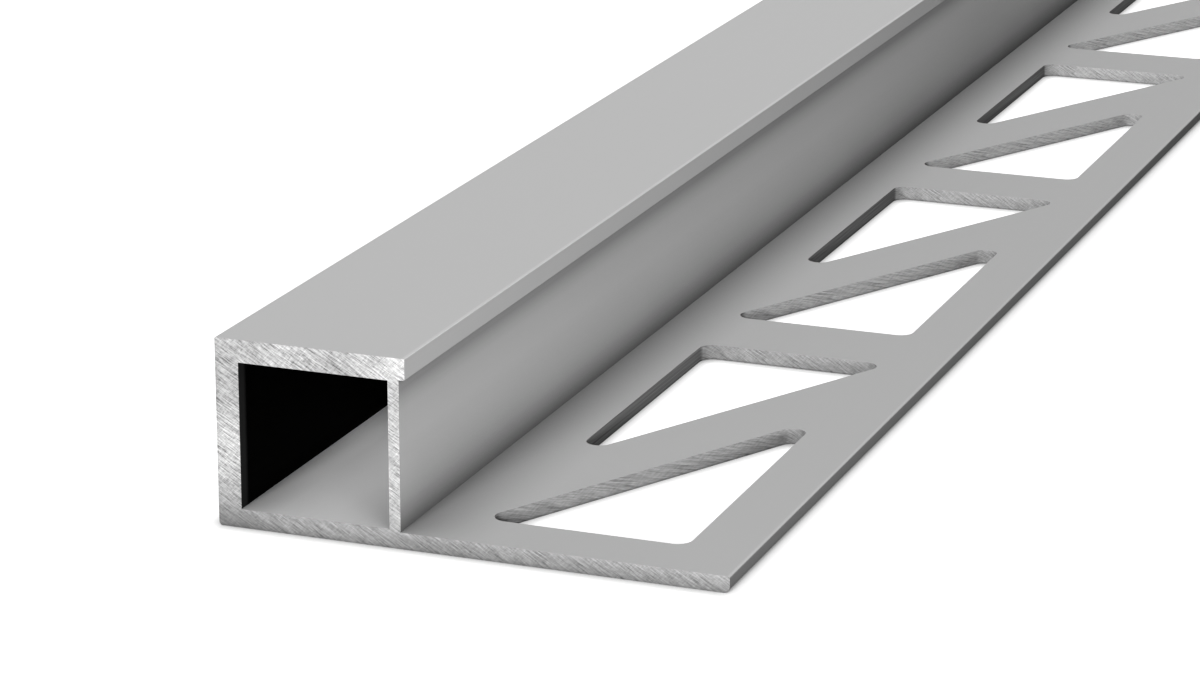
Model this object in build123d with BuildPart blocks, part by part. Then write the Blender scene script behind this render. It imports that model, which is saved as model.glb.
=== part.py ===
# Straight-edge tile trim: one aluminium extrusion with a hollow square edge and a punched leg.
#
# It lies as it is laid, with the leg flat on the floor. The hollow edge is at -X, the leg's free
# edge at +X, and the length runs along Y. The origin is in the middle of the underside.
# All sizes are in millimetres and degrees.
import os
from math import cos, floor, radians, tan

from build123d import *

# Stock
stock_length = 1000.0

# Section of the hollow edge
height = 12.5  # the tile height that the trim is made for
face_width = 13.0  # the flat top face that stays in sight
outer_wall = 1.6
top_wall = 1.5
web = 0.75  # the thin wall that the tile stops against
chamber_floor = 1.25
lip_overhang = 0.4  # how far the top stands out past the web
lip_depth = 1.4
arris_radius = 0.06  # on the edges that stay in sight
base_radius = 0.3  # on the outer wall's lower edge

# Anchoring leg
trim_width = 34.4  # from the outer wall to the leg's free edge
leg_thickness = 1.1
leg_edge_radius = 0.15  # on the free edge, above
leg_base_radius = 0.45  # on the free edge, below

# Cut-outs in the leg: pairs of right triangles with a slanting brace between them
web_margin = 4.25  # plain leg between the web and a cut-out
edge_margin = 4.3  # plain leg between a cut-out and the free edge
brace_angle = 62.9  # from the X axis
brace_width = 5.5
cross_bar = 7.1  # plain leg between one pair and the next
end_land = 4.2  # the least plain leg left at each end
corner_radius = 1.0
tip_radius = 0.9  # in the long sharp corner

# Places across the trim
wall_x = -trim_width / 2
edge_x = trim_width / 2
lip_x = wall_x + face_width
web_outer_x = lip_x - lip_overhang
web_inner_x = web_outer_x - web
chamber_x = wall_x + outer_wall
cut_inner_x = web_outer_x + web_margin
cut_outer_x = edge_x - edge_margin

# Places up the trim
lip_z = height - lip_depth
chamber_top_z = height - top_wall

# A triangle's size to its sharp corners. The rounding of its wide corner ends on the line of the
# margin, so the sharp corner lies a little past that line.
slope = tan(radians(brace_angle))
corner_overrun = corner_radius * (1 / tan(radians(brace_angle / 2)) - 1)
triangle_across = cut_outer_x - cut_inner_x + corner_overrun
triangle_along = triangle_across * slope

# A pair of triangles, and how many pairs the length holds
brace_along = brace_width / cos(radians(brace_angle))
pair_length = triangle_along + corner_overrun * slope + brace_along
pair_pitch = pair_length + cross_bar
pair_count = floor((stock_length - 2 * end_land + cross_bar) / pair_pitch)


# One triangle, with its right angle at the origin and its long side along +Y
with BuildSketch() as triangle:
    with BuildLine():
        Polyline((0, 0), (0, triangle_along), (-triangle_across, 0), close=True)
    make_face()
    corners = triangle.vertices().sort_by(Axis.Y)
    fillet(corners[-1], tip_radius)
    corners = triangle.vertices().sort_by_distance((0, 0))
    fillet(corners[0], corner_radius)
    corners = triangle.vertices().sort_by(Axis.X)
    fillet(corners[0], corner_radius)


with BuildPart() as edge_trim:
    # Section across the trim, with its outer corners eased
    with BuildSketch(Plane.XZ) as section:
        with BuildLine():
            Polyline(
                (wall_x, 0),
                (wall_x, height),
                (lip_x, height),
                (lip_x, lip_z),
                (web_outer_x, lip_z),
                (web_outer_x, leg_thickness),
                (edge_x, leg_thickness),
                (edge_x, 0),
                close=True,
            )
        make_face()
        for x, z in ((wall_x, height), (lip_x, height), (lip_x, lip_z)):
            fillet(section.vertices().sort_by_distance((x, z))[0], arris_radius)
        fillet(section.vertices().sort_by_distance((wall_x, 0))[0], base_radius)
        fillet(section.vertices().sort_by_distance((edge_x, leg_thickness))[0], leg_edge_radius)
        fillet(section.vertices().sort_by_distance((edge_x, 0))[0], leg_base_radius)
        with Locations(((chamber_x + web_inner_x) / 2, (chamber_floor + chamber_top_z) / 2)):
            Rectangle(web_inner_x - chamber_x, chamber_top_z - chamber_floor, mode=Mode.SUBTRACT)
    extrude(amount=stock_length / 2, both=True)

    # Cut-outs, each pair turned about its own middle
    with BuildSketch() as cut_outs:
        with GridLocations(0, pair_pitch, 1, pair_count):
            with Locations((cut_outer_x, -pair_length / 2)):
                add(triangle.sketch)
            with Locations((cut_inner_x, pair_length / 2)):
                add(triangle.sketch, rotation=180)
    extrude(amount=2 * leg_thickness, both=True, mode=Mode.SUBTRACT)
edge_trim.part.label = "edge_trim"

os.makedirs("parts", exist_ok=True)
export_step(edge_trim.part, "parts/edge_trim.step")
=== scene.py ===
"""Looks for a straight-edge tile trim: satin extruded aluminium, sawn ends and punched cut-outs.

Sizes are in metres, in the part's own frame: the hollow edge at -X, the leg's free edge at +X,
the length along Y and the underside at z = 0. Greys are linear, with 0 for black and 1 for white.
"""
from math import cos, pi, radians, sin, tan

import bpy
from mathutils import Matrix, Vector


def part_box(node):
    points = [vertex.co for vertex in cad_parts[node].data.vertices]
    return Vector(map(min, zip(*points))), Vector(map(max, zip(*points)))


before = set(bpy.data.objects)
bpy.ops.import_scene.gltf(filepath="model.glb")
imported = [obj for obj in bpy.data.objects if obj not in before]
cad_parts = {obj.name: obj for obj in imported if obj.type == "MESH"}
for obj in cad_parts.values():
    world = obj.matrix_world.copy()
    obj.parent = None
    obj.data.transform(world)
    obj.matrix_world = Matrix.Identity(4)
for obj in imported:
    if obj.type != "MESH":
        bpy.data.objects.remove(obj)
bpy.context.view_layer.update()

MM = 0.001

# The trim's own places, from its packed box and from the sizes in its source
LOW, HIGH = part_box("edge_trim")
LEG_TOP = 1.1 * MM
FACE_WIDTH = 13.0 * MM
LIP_OVERHANG = 0.4 * MM
ARRIS = 0.06 * MM
OUTER_WALL = 1.6 * MM
WEB = 0.75 * MM
TOP_WALL = 1.5 * MM
CHAMBER_FLOOR = 1.25 * MM
WEB_MARGIN = 4.25 * MM
EDGE_MARGIN = 4.3 * MM

LIP_X = LOW.x + FACE_WIDTH
WEB_OUTER_X = LIP_X - LIP_OVERHANG
WEB_INNER_X = WEB_OUTER_X - WEB
CHAMBER_X = LOW.x + OUTER_WALL
CHAMBER_TOP = HIGH.z - TOP_WALL
CUT_INNER_X = WEB_OUTER_X + WEB_MARGIN
CUT_OUTER_X = HIGH.x - EDGE_MARGIN

# Width of the painted highlight along an edge, where the light would catch it
HIGHLIGHT_WIDTH = 0.22 * MM

# Slack where a face is told by its place
TINY = 0.01 * MM

# The saw marks' weights add up to 1, so they lie around 0 once the noise's own middle is taken off
NOISE_MIDDLE = 0.5

# How far the floor reaches from the trim's middle
FLOOR_REACH = 6.0

# What the floor and the surroundings give back to light that the eye doesn't see
UNSEEN_GREY = 0.10


class Sock:
    """One output of a shader node. Arithmetic on it adds Math nodes."""

    def __init__(self, shop, socket):
        self.shop = shop
        self.socket = socket

    def _math(self, operation, *values):
        return self.shop.node("ShaderNodeMath", {"operation": operation}, dict(enumerate(values)))

    def __add__(self, other):
        return self._math("ADD", self, other)

    def __radd__(self, other):
        return self._math("ADD", other, self)

    def __sub__(self, other):
        return self._math("SUBTRACT", self, other)

    def __rsub__(self, other):
        return self._math("SUBTRACT", other, self)

    def __mul__(self, other):
        return self._math("MULTIPLY", self, other)

    def __rmul__(self, other):
        return self._math("MULTIPLY", other, self)

    def __pow__(self, other):
        return self._math("POWER", self, other)

    def __gt__(self, other):
        return self._math("GREATER_THAN", self, other)

    def __lt__(self, other):
        return self._math("LESS_THAN", self, other)

    def __abs__(self):
        return self._math("ABSOLUTE", self)


class Finish:
    """Shader nodes under construction, with one method for every node that isn't plain arithmetic."""

    def __init__(self, holder):
        holder.use_nodes = True
        self.tree = holder.node_tree
        self.tree.nodes.clear()

    def node(self, kind, settings=None, inputs=None, output=0):
        made = self.tree.nodes.new(kind)
        settings = dict(settings or {})
        for place, grey in settings.pop("stops", ()):
            stops = made.color_ramp.elements
            stop = stops[0] if place == 0 else stops[-1] if place == 1 else stops.new(place)
            stop.color = (grey, grey, grey, 1)
        for name, value in settings.items():
            setattr(made, name, value)
        for key, value in (inputs or {}).items():
            if isinstance(value, Sock):
                self.tree.links.new(value.socket, made.inputs[key])
            else:
                made.inputs[key].default_value = value
        return Sock(self, made.outputs[output]) if made.outputs else made

    def place(self):
        """The point's three coordinates in the part's frame, in metres."""
        point = self.node("ShaderNodeTexCoord", output="Object")
        return [self.node("ShaderNodeSeparateXYZ", inputs={0: point}, output=i) for i in range(3)]

    def facing_along(self):
        """How squarely the surface faces along the length: 1 or -1 on an end and 0 on a side."""
        normal = self.node("ShaderNodeTexCoord", output="Normal")
        return self.node("ShaderNodeSeparateXYZ", inputs={0: normal}, output=1)

    def vector(self, x, y, z):
        return self.node("ShaderNodeCombineXYZ", inputs={0: x, 1: y, 2: z})

    def grain(self, point, slope, along, across, shift=0.0, detail=1.0, rough=0.6):
        """Noise drawn out down a slope in degrees, with so many marks a metre along and across it."""
        turned = self.node("ShaderNodeMapping", {"vector_type": "TEXTURE"}, {
            "Vector": point,
            "Location": [shift, 0, 0],
            "Rotation": [0, radians(slope), 0],
            "Scale": [1 / along, 1, 1 / across],
        })
        return self.node("ShaderNodeTexNoise", inputs={
            "Vector": turned, "Scale": 1.0, "Detail": detail, "Roughness": rough,
        })

    def remap(self, value, low, high, to_low=0.0, to_high=1.0):
        return self.node("ShaderNodeMapRange", inputs={
            0: value, 1: low, 2: high, 3: to_low, 4: to_high,
        })

    def graded(self, value, low, high, stops):
        """A grey that follows a value through several stops, given as (place from 0 to 1, grey)."""
        place = self.remap(value, low, high)
        ramp = self.node("ShaderNodeValToRGB", {"stops": stops}, {0: place})
        return self.node("ShaderNodeSeparateColor", inputs={0: ramp})

    def blend(self, factor, first, second):
        return self.node("ShaderNodeMix", {"data_type": "FLOAT"}, {0: factor, 2: first, 3: second})

    def grey(self, value):
        return self.node("ShaderNodeCombineColor", inputs={0: value, 1: value, 2: value})

    def bump(self, height, strength, distance):
        return self.node("ShaderNodeBump", inputs={
            "Height": height, "Strength": strength, "Distance": distance,
        })

    def nearness(self, reach):
        """How open a point is: 1 in the open, less where something stands within reach of it."""
        return self.node("ShaderNodeAmbientOcclusion", {"samples": 16}, {"Distance": reach}, "AO")

    def seen(self):
        """1 for rays from the eye, also by a mirror or through glass, and 0 for light that spreads."""
        ways = ("Is Camera Ray", "Is Glossy Ray", "Is Transmission Ray")
        camera, glossy, through = [self.node("ShaderNodeLightPath", output=way) for way in ways]
        return self.remap(camera + glossy + through, 0, 1)


def between(value, low, high):
    """1 where the value lies in a range, and 0 elsewhere."""
    return (value > low - TINY) * (value < high + TINY)


class Spot:
    """A point on the trim: its place, and masks that are 1 on the face they name and 0 elsewhere."""

    def __init__(self, finish):
        x, y, z = finish.place()
        self.x = x
        self.y = y
        self.z = z
        self.from_front = y - LOW.y
        self.from_end = HIGH.y - abs(y)
        self.facing_along = abs(finish.facing_along())

        self.sawn = abs(y) > HIGH.y - TINY
        drawn = 1 - self.sawn
        in_cut_outs = between(x, CUT_INNER_X, CUT_OUTER_X)
        self.punched = drawn * in_cut_outs * between(z, 2 * TINY, LEG_TOP - 2 * TINY)
        in_chamber = between(x, CHAMBER_X, WEB_INNER_X) * between(z, CHAMBER_FLOOR, CHAMBER_TOP)
        self.chamber = drawn * in_chamber
        self.chamber_walls = self.chamber * (z > CHAMBER_FLOOR + TINY)
        self.free_edge = drawn * (x > HIGH.x - 2 * TINY)
        by_tile = between(x, WEB_OUTER_X, LIP_X)
        self.tile_side = drawn * by_tile * between(z, LEG_TOP + 2 * TINY, HIGH.z - ARRIS)
        self.leg_top = drawn * between(x, WEB_OUTER_X, HIGH.x) * between(z, LEG_TOP, LEG_TOP)

        # Where the painted highlights run, along the upper edges of the lip and of the free edge
        self.lip_highlight = between(x, LIP_X - HIGHLIGHT_WIDTH, LIP_X) * (z > HIGH.z - ARRIS)
        self.leg_highlight = (x > HIGH.x - HIGHLIGHT_WIDTH) * (z > LEG_TOP - 1.5 * ARRIS)


def saw_marks(finish, spot):
    """Marks that run down to the right on the ends. In the cut-outs they follow the walls."""
    # A little of the length gives each end and each cut-out marks of its own
    face = finish.vector(spot.x + 0.02 * spot.y, 0, spot.z)
    fine = finish.grain(face, 28, 480, 11500)
    steep = finish.grain(face, 36, 700, 12500, shift=0.3)
    crossing = finish.grain(face, -50, 1500, 10500, shift=0.6)
    broad = finish.grain(face, 30, 350, 3200, shift=0.9)
    mottle = finish.grain(face, 24, 3600, 7000, shift=1.2)
    patches = finish.grain(face, 28, 300, 500, shift=1.5)
    nicks = finish.remap(finish.grain(face, 30, 450, 9000, shift=1.8), 0.6, 0.75)
    marks = 0.34 * fine + 0.27 * steep + 0.16 * crossing + 0.02 * broad + 0.18 * mottle + 0.03 * patches
    return marks - 0.09 * nicks - NOISE_MIDDLE


def skin_tone(finish, spot, die_lines):
    """Painted light and shade on the skin: paler on the top and darker down towards the leg, with painted
    highlights along the lip and the free edge.
    """
    grey = finish.remap(spot.z, LEG_TOP, HIGH.z, 0.472, 0.553)
    grey = grey + finish.remap(die_lines, 0.3, 0.7, -0.004, 0.004)
    # Painted highlights along the lip and the free edge
    grey = grey * (1 + 0.10 * spot.lip_highlight + 0.06 * spot.leg_highlight)

    # Painted shade: the free edge is dark, and it and the side towards the tile dim a little further along
    far_shade = finish.remap(spot.from_front, 86 * MM, 130 * MM, 1.0, 0.84)
    grey = finish.blend(spot.free_edge, grey, 0.28 * far_shade * far_shade)

    # Painted light and shade on the side towards the tile, by height: dark at the web's foot, lighter up
    # the web, dark below the lip, and then the lip's face
    side_painted_tone = finish.graded(spot.z, LEG_TOP, HIGH.z, [
        (0, 0.322), (0.04, 0.412), (0.08, 0.49), (0.17, 0.58), (0.254, 0.575), (0.34, 0.547), (0.45, 0.508),
        (0.56, 0.50), (0.69, 0.483), (0.74, 0.44), (0.78, 0.39), (0.816, 0.342), (0.85, 0.395),
        (0.877, 0.415), (0.882, 0.505), (1, 0.508),
    ])

    # The painted far shade stays off the upper web, which the painted shade below the lip darkens already
    under_lip = finish.remap(spot.z, 7 * MM, 10 * MM) * (spot.x < LIP_X - 2 * TINY)
    side_painted_tone = side_painted_tone * finish.blend(under_lip, far_shade, 1.0)
    return finish.blend(spot.tile_side, grey, side_painted_tone)


def chamber_tone(finish, spot):
    """Inside the hollow edge, painted light and shade: black walls, and a pale floor that is darker by the
    outer wall near an end.
    """
    from_wall = spot.x - CHAMBER_X
    # Painted light and shade on the floor: darker near an end and by the outer wall
    grey = finish.remap(spot.from_end, 0, 8 * MM, 0.88, 1.0)
    grey = grey * finish.remap(from_wall, 4.6 * MM, 7.6 * MM, 1.0, 1.08)
    by_wall = finish.remap(from_wall, 0, 2.5 * MM, 1.0, 0.0)
    wall_shade = finish.graded(spot.from_end, 0, 20 * MM, [
        (0, 0.05), (0.25, 0.06), (0.5, 0.33), (0.65, 0.6), (1, 1.0),
    ])
    grey = grey * (1 + by_wall * (1.1 * wall_shade - 0.3))
    # Painted shade: the walls are black
    wall_painted_tone = finish.remap(spot.from_end, 0.7 * MM, 1.1 * MM, 0.021, 0.0)
    return finish.blend(spot.chamber_walls, grey, wall_painted_tone)


def punched_tone(finish, spot):
    """In the cut-outs, painted light and shade: dark on the walls next to the hollow edge and in a line
    along the floor.
    """
    inner_wall_painted_shade = finish.remap(spot.from_front, 30 * MM, 80 * MM, 0.195, 0.162)
    # Painted light and shade on the other walls: lighter further along, darker where they face along the
    # trim
    walls_painted_tone = finish.remap(spot.from_front, 0, 170 * MM, 0.296, 0.49)
    walls_painted_tone = walls_painted_tone * finish.remap(spot.facing_along, 0.5, 1, 1.0, 0.84)

    # Painted shade: a wall that runs across the trim comes dark out of the corner with the inner wall
    from_inner = spot.x - CUT_INNER_X
    corner_shade = finish.graded(from_inner, 0, 3 * MM, [
        (0, 0.62), (0.1, 0.69), (0.2, 0.76), (0.35, 0.85), (0.7, 0.90), (1, 1.0),
    ])
    across_wall = finish.remap(spot.facing_along, 0.46, 0.6)
    walls_painted_tone = walls_painted_tone * finish.blend(across_wall, 1.0, corner_shade)
    grey = finish.blend(finish.remap(from_inner, 0.02 * MM, 0.2 * MM), inner_wall_painted_shade, walls_painted_tone)
    # Painted shade in a line along the floor
    return grey * finish.remap(spot.z, 0.04 * MM, 0.16 * MM, 0.6, 1.0)


def sawn_tone(finish, spot):
    """The sawn ends, with painted light and shade: a painted sheen at mid height and at the right of the
    top, and painted shade along the floor.
    """
    wall_painted_tone = finish.graded(spot.z, 0, CHAMBER_TOP, [
        (0, 0.44), (0.16, 0.495), (0.3, 0.485), (0.4, 0.495), (0.47, 0.49), (0.55, 0.465), (0.64, 0.44),
        (0.71, 0.40), (0.8, 0.36), (0.89, 0.34), (1, 0.405),
    ])
    web_grey = finish.graded(spot.z, 0, CHAMBER_TOP, [
        (0, 0.55), (0.16, 0.55), (0.25, 0.50), (0.345, 0.49), (0.44, 0.45), (0.53, 0.46), (0.62, 0.45),
        (0.71, 0.435), (0.8, 0.42), (0.89, 0.405), (1, 0.46),
    ])
    top_grey = finish.graded(spot.x, LOW.x, LIP_X, [
        (0, 0.395), (0.14, 0.395), (0.22, 0.40), (0.38, 0.437), (0.55, 0.41), (0.68, 0.38), (0.8, 0.45),
        (1, 0.55),
    ])
    top_grey = top_grey * finish.remap(spot.z, CHAMBER_TOP, HIGH.z, 0.94, 1.05)
    leg_grey = finish.graded(spot.x, LOW.x, HIGH.x, [
        (0, 0.34), (0.15, 0.442), (0.3, 0.45), (0.4, 0.408), (0.5, 0.41), (0.6, 0.425), (0.73, 0.42),
        (1, 0.462),
    ])
    foot_shade = finish.graded(spot.z, 0, LEG_TOP, [(0, 0.69), (0.2, 0.94), (0.5, 1.03), (1, 1.12)])
    grey = finish.blend(spot.x > WEB_INNER_X - TINY, wall_painted_tone, web_grey)
    grey = finish.blend(finish.remap(spot.z, 0.8 * MM, 1.8 * MM), leg_grey * foot_shade, grey)
    return finish.blend(spot.z > CHAMBER_TOP, grey, top_grey)


def trim_finish():
    """Satin skin all over and saw marks on the two ends and the cut-out walls, with light and shade painted
    into the colour of every face.
    """
    material = bpy.data.materials.new("satin_aluminium_trim")
    finish = Finish(material)
    spot = Spot(finish)
    marks = saw_marks(finish, spot)

    # Faint lines drawn along the skin by the die
    die_lines = finish.grain(finish.vector(spot.y, 0, spot.x + spot.z), 0, 4, 7000)

    tone = skin_tone(finish, spot, die_lines)
    tone = finish.blend(spot.chamber, tone, chamber_tone(finish, spot))
    tone = finish.blend(spot.punched, tone, punched_tone(finish, spot))
    tone = finish.blend(spot.sawn, tone, sawn_tone(finish, spot))

    # The marks show most on the ends above the leg, and not at all on the skin
    contrast = finish.remap(spot.z, LEG_TOP, 3 * MM, 3.5, 5.0) * spot.sawn + 3.2 * spot.punched

    # Painted shade: how strongly each face darkens towards what stands close to it
    foot_depth = finish.remap(spot.from_front, 0, 60 * MM, 0.20, -0.23)
    depth = 0.85 + 0.2 * spot.sawn + 0.55 * spot.tile_side - 0.1 * spot.chamber - 0.75 * spot.punched
    shade = finish.nearness(6 * MM) ** (depth + foot_depth * spot.leg_top)

    height = finish.blend(spot.sawn + spot.punched, 0.1 * die_lines, marks)
    shader = finish.node("ShaderNodeBsdfPrincipled", inputs={
        "Base Color": finish.grey(tone * (1 + contrast * marks) * shade),
        "Metallic": 0.34,
        "Roughness": finish.remap(die_lines, 0.3, 0.7, 0.72, 0.78),
        "Specular IOR Level": 0.0,
        "Normal": finish.bump(height, 0.2, 0.02 * MM),
    })
    finish.node("ShaderNodeOutputMaterial", inputs={"Surface": shader})
    return material


def paper_finish():
    """White wherever the eye sees it, with the trim's contact shade on it."""
    material = bpy.data.materials.new("pale_floor")
    finish = Finish(material)
    seen = finish.seen()
    x, y, _ = finish.place()

    # The shade is deepest before the sawn end and softest beside the leg
    before_end = y < LOW.y
    beside_leg = finish.remap(x, HIGH.x - 0.8 * MM, HIGH.x - 0.5 * MM)
    shade = finish.nearness(1.2 * MM) ** (1 + 0.13 * before_end - 0.54 * beside_leg)
    shade = shade * (1 - 0.12 * beside_leg)
    shader = finish.node("ShaderNodeBsdfPrincipled", inputs={
        "Base Color": finish.grey(finish.remap(seen, 0, 1, UNSEEN_GREY, 0.90) * shade),
        "Roughness": 1.0,
        "Specular IOR Level": 0.0,
        "Emission Color": finish.grey(0.62 * seen * shade),
        "Emission Strength": 1.0,
    })
    finish.node("ShaderNodeOutputMaterial", inputs={"Surface": shader})
    return material


def pale_floor():
    """A flat sheet of paper, level with the trim's underside."""
    mesh = bpy.data.meshes.new("floor")
    near, far = -FLOOR_REACH, FLOOR_REACH
    corners = [(near, near), (far, near), (far, far), (near, far)]
    mesh.from_pydata([(x, y, LOW.z) for x, y in corners], [], [(0, 1, 2, 3)])
    mesh.materials.append(paper_finish())
    floor = bpy.data.objects.new("floor", mesh)
    bpy.context.scene.collection.objects.link(floor)


def studio_world():
    """White wherever the eye sees it, and nearly dark for the light that it spreads."""
    world = bpy.data.worlds.new("studio")
    bpy.context.scene.world = world
    finish = Finish(world)
    back = finish.node("ShaderNodeBackground", inputs={
        "Color": (1, 1, 1, 1),
        "Strength": finish.remap(finish.seen(), 0, 1, UNSEEN_GREY, 1.0),
    })
    finish.node("ShaderNodeOutputWorld", inputs={"Surface": back})


def way_from(azimuth, height):
    """The direction towards a lamp. Azimuth 0 is +X and 90 is +Y, in degrees."""
    turn, rise = radians(azimuth), radians(height)
    return Vector((cos(turn) * cos(rise), sin(turn) * cos(rise), sin(rise)))


def place_lamp(name, lamp, where, facing):
    """Stand a lamp somewhere, facing one way and unseen by the camera."""
    placed = bpy.data.objects.new(name, lamp)
    placed.location = where
    placed.rotation_euler = facing.to_track_quat("-Z", "Y").to_euler()
    placed.visible_camera = False
    bpy.context.scene.collection.objects.link(placed)


def sun(name, azimuth, height, strength, spread):
    """A soft lamp far away. At strength 1 a white surface square to it renders white."""
    lamp = bpy.data.lights.new(name, "SUN")
    lamp.energy = pi * strength
    lamp.angle = radians(spread)
    place_lamp(name, lamp, (0, 0, 0), -way_from(azimuth, height))


def soft_box(name, where, target, strength, width, height, spread):
    """An oval lamp close by. At strength 1 a white surface at the target renders white."""
    reach = Vector(target) - Vector(where)
    half = radians(spread / 2)
    lamp = bpy.data.lights.new(name, "AREA")
    lamp.shape = "ELLIPSE"
    lamp.size = width
    lamp.size_y = height
    lamp.spread = 2 * half
    lamp.energy = strength * pi ** 2 * reach.length_squared * (1 - half / tan(half))
    place_lamp(name, lamp, where, reach)


def camera():
    """The photograph's own view, from beyond the near end and above the leg."""
    lens = bpy.data.cameras.new("camera")
    lens.sensor_width = 36.0
    lens.lens = 120.73
    lens.clip_start = 0.01
    placed = bpy.data.objects.new("camera", lens)
    placed.location = (0.0918, -0.7169, 0.0865)
    placed.rotation_euler = [radians(angle) for angle in (72.968, -0.086, 20.982)]
    bpy.context.scene.collection.objects.link(placed)
    bpy.context.scene.camera = placed


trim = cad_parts["edge_trim"]
trim.material_slots[0].material = trim_finish()
pale_floor()
studio_world()
sun("key", azimuth=269, height=21, strength=1.1, spread=16)
sun("back", azimuth=80, height=45, strength=0.25, spread=40)
side_target = (WEB_OUTER_X, LOW.y + 30 * MM, 8 * MM)
soft_box("side", (0.11, -0.60, 0.018), side_target, strength=0.65, width=0.08, height=0.03, spread=90)
camera()
bpy.context.scene.view_settings.view_transform = "Standard"
